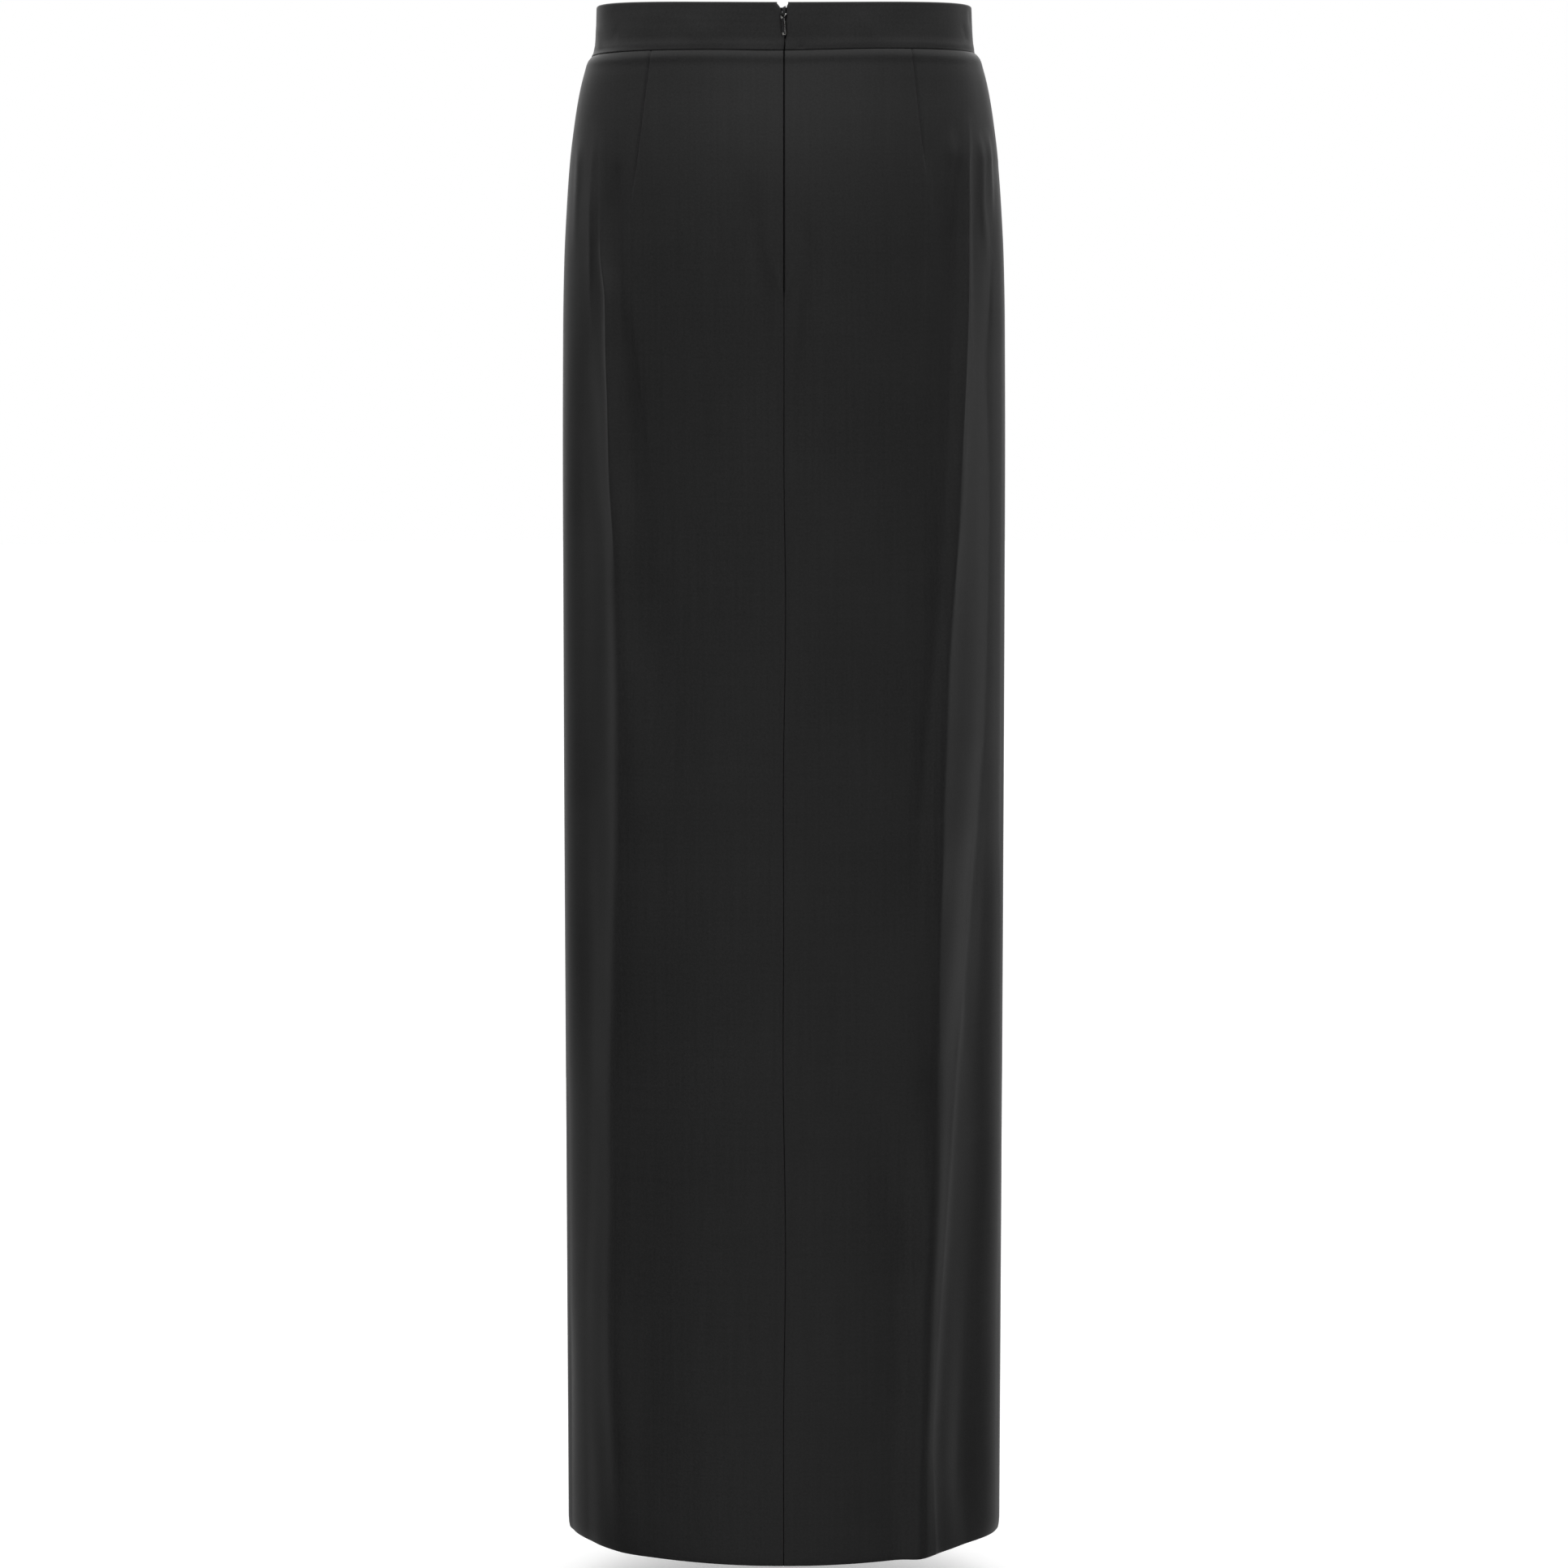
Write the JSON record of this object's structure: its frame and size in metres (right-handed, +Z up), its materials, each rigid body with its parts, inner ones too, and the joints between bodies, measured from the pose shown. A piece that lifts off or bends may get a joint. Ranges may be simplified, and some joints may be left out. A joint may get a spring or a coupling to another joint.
{
  "type": "maxi skirt",
  "caption": "Floor-length straight skirt in its hollow worn form, with a waistband, back darts and a concealed centre-back zip.",
  "frame": {"origin": "centre of the waist, level with the middle of the waistband, on the wearer's axis", "axes": "+Z up, +Y towards the wearer's front, +X towards the wearer's right; the centre-back zip faces -Y"},
  "size_m": [0.3272, 0.2277, 1.1334],
  "materials": {
    "crepe": "satin-back crepe, soft sheen",
    "band_crepe": "satin-back crepe, fused and pressed",
    "zip_tape": "matt woven tape",
    "zip_metal": "dark gunmetal, satin"
  },
  "bodies": {
    "skirt": {"front_panel": "crepe", "back_panel_left": "crepe", "back_panel_right": "crepe", "waistband": "band_crepe", "zip_tape_left": "zip_tape", "zip_tape_right": "zip_tape", "zip_slider": "zip_metal"},
    "pull_tab": {"zip_pull": "zip_metal"}
  },
  "joints": [
    {"name": "pull_tab_swing", "type": "hinge", "parent": "skirt", "child": "pull_tab", "pos_m": [0, -0.0999, 0.0087], "axis": [-0.9981, 0, -0.061], "range_deg": [0, 150]}
  ]
}
